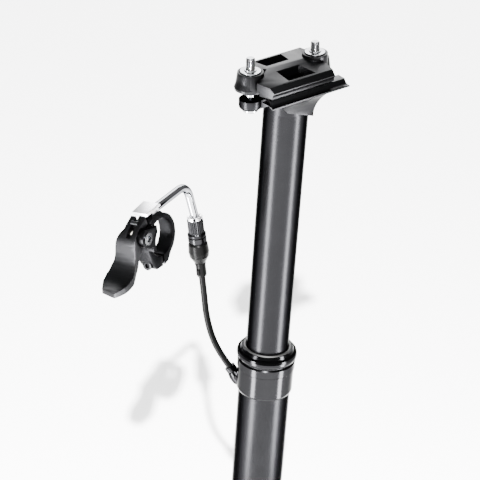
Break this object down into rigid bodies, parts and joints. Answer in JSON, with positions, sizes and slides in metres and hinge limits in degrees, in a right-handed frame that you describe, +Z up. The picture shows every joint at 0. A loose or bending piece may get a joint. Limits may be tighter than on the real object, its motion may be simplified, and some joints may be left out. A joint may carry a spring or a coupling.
{
  "type": "dropper seatpost",
  "caption": "Telescopic bicycle seatpost: outer tube, sliding stanchion, two-bolt tilting rail clamp, and a handlebar thumb lever joined to the collar by a short cable.",
  "frame": {"origin": "on the post's axis at the bottom end of the outer tube", "axes": "+Z up the post; +X the long direction of the rail clamp, towards its raised rear end; +Y across the rails"},
  "size_m": [0.1351, 0.0704, 0.4572],
  "materials": {
    "black_steel": "black oxide steel, slight sheen",
    "post_black": "satin black anodised",
    "stanchion_black": "hard anodised, slight sheen",
    "collar_black": "gloss black anodised",
    "clamp_black": "forged, satin black",
    "remote_black": "gloss black",
    "lever_grey": "satin dark grey",
    "zinc_steel": "bright zinc plated",
    "polished_steel": "polished",
    "silver_plate": "brushed silver",
    "cable_black": "extruded sheath",
    "plastic_black": "moulded",
    "rubber_black": "moulded rubber",
    "foam": "open cell, oiled",
    "bushing_plastic": "acetal",
    "brass": "turned",
    "machined_aluminium": "machined",
    "spring_steel": "drawn wire"
  },
  "bodies": {
    "lower_post": {"lower_tube": "post_black", "cable_port_collar": "collar_black", "port_ferrule": "collar_black", "collar_ring": "collar_black", "seal_cap": "collar_black", "foam_ring": "foam", "wiper_seal": "rubber_black", "upper_bushing": "bushing_plastic", "bottom_ring": "zinc_steel", "bottom_cap": "machined_aluminium", "actuator_pivot": "spring_steel", "cartridge_rod": "polished_steel", "rod_nut": "zinc_steel", "piston": "machined_aluminium", "cable_housing": "cable_black", "housing_ferrule": "plastic_black", "adjuster_body": "plastic_black", "adjuster_ring": "black_steel", "noodle": "polished_steel", "noodle_yoke": "silver_plate", "bar_clamp": "remote_black", "bar_clamp_screw": "black_steel", "bar_clamp_nut": "black_steel", "pivot_screw": "zinc_steel", "pivot_bush": "bushing_plastic", "return_spring": "spring_steel"},
    "upper_post": {"stanchion": "stanchion_black", "lower_bushing": "bushing_plastic", "anti_rotation_keys": "brass", "cartridge_body": "machined_aluminium", "cartridge_seal_head": "machined_aluminium", "cartridge_cap": "machined_aluminium", "head": "post_black", "clamp_bolts": "zinc_steel", "bolt_washers": "zinc_steel"},
    "rail_clamp": {"lower_cradle": "clamp_black", "upper_clamp": "clamp_black"},
    "front_nut": {"front_nut": "zinc_steel"},
    "rear_nut": {"rear_nut": "zinc_steel"},
    "lever": {"lever": "lever_grey"},
    "remote_wire": {"remote_wire": "spring_steel", "wire_nipple": "spring_steel"},
    "release_wire": {"release_wire": "spring_steel", "wire_anchor": "spring_steel"},
    "actuator_lever": {"actuator_lever": "spring_steel"},
    "valve_pin": {"valve_pin": "spring_steel"},
    "adjuster_barrel": {"adjuster_barrel": "remote_black"}
  },
  "joints": [
    {"name": "post_travel", "type": "slide", "parent": "lower_post", "child": "upper_post", "axis": [0, 0, 1], "range_m": [-0.125, 0], "stiffness_N_per_m": 12, "springref_m": 1},
    {"name": "clamp_tilt", "type": "hinge", "parent": "upper_post", "child": "rail_clamp", "pos_m": [-0.00459, 0, 0.4497], "axis": [0, -1, 0], "range_deg": [-4.5, 4.5]},
    {"name": "front_nut_run", "type": "slide", "parent": "upper_post", "child": "front_nut", "axis": [-0.0698, 0, 0.9976], "range_m": [-0.0019, 0.0019]},
    {"name": "rear_nut_run", "type": "slide", "parent": "upper_post", "child": "rear_nut", "axis": [-0.0698, 0, 0.9976], "range_m": [-0.0019, 0.0019]},
    {"name": "lever_swing", "type": "hinge", "parent": "lower_post", "child": "lever", "pos_m": [-0.08176, 0.02163, 0.35282], "axis": [0.3768, -0.9139, 0.1509], "range_deg": [0, 22], "stiffness_Nm_per_rad": 0.08, "springref_deg": -20.05},
    {"name": "remote_wire_pull", "type": "slide", "parent": "lower_post", "child": "remote_wire", "axis": [-0.9176, -0.3906, -0.0741], "range_m": [0, 0.00296]},
    {"name": "release_wire_pull", "type": "slide", "parent": "lower_post", "child": "release_wire", "axis": [0, 0, 1], "range_m": [0, 0.00296]},
    {"name": "actuator_turn", "type": "hinge", "parent": "lower_post", "child": "actuator_lever", "pos_m": [0.00554, -0.00709, 0.01], "axis": [0.788, 0.6157, 0], "range_deg": [0, 7.6]},
    {"name": "valve_pin_lift", "type": "slide", "parent": "lower_post", "child": "valve_pin", "axis": [0, 0, 1], "range_m": [0, 0.00119]},
    {"name": "barrel_turn", "type": "hinge", "parent": "lower_post", "child": "adjuster_barrel", "pos_m": [-0.02718, 0.04247, 0.34274], "axis": [0.1106, -0.1173, -0.9869], "continuous": true}
  ],
  "couplings": [
    {"joint": "front_nut_run", "follows": "clamp_tilt", "m_per_rad": -0.0219},
    {"joint": "rear_nut_run", "follows": "clamp_tilt", "m_per_rad": 0.0219},
    {"joint": "remote_wire_pull", "follows": "lever_swing", "m_per_rad": 0.0074792},
    {"joint": "release_wire_pull", "follows": "lever_swing", "m_per_rad": 0.0074792},
    {"joint": "actuator_turn", "follows": "lever_swing", "ratio": 0.33539},
    {"joint": "valve_pin_lift", "follows": "lever_swing", "m_per_rad": 0.0030185}
  ]
}
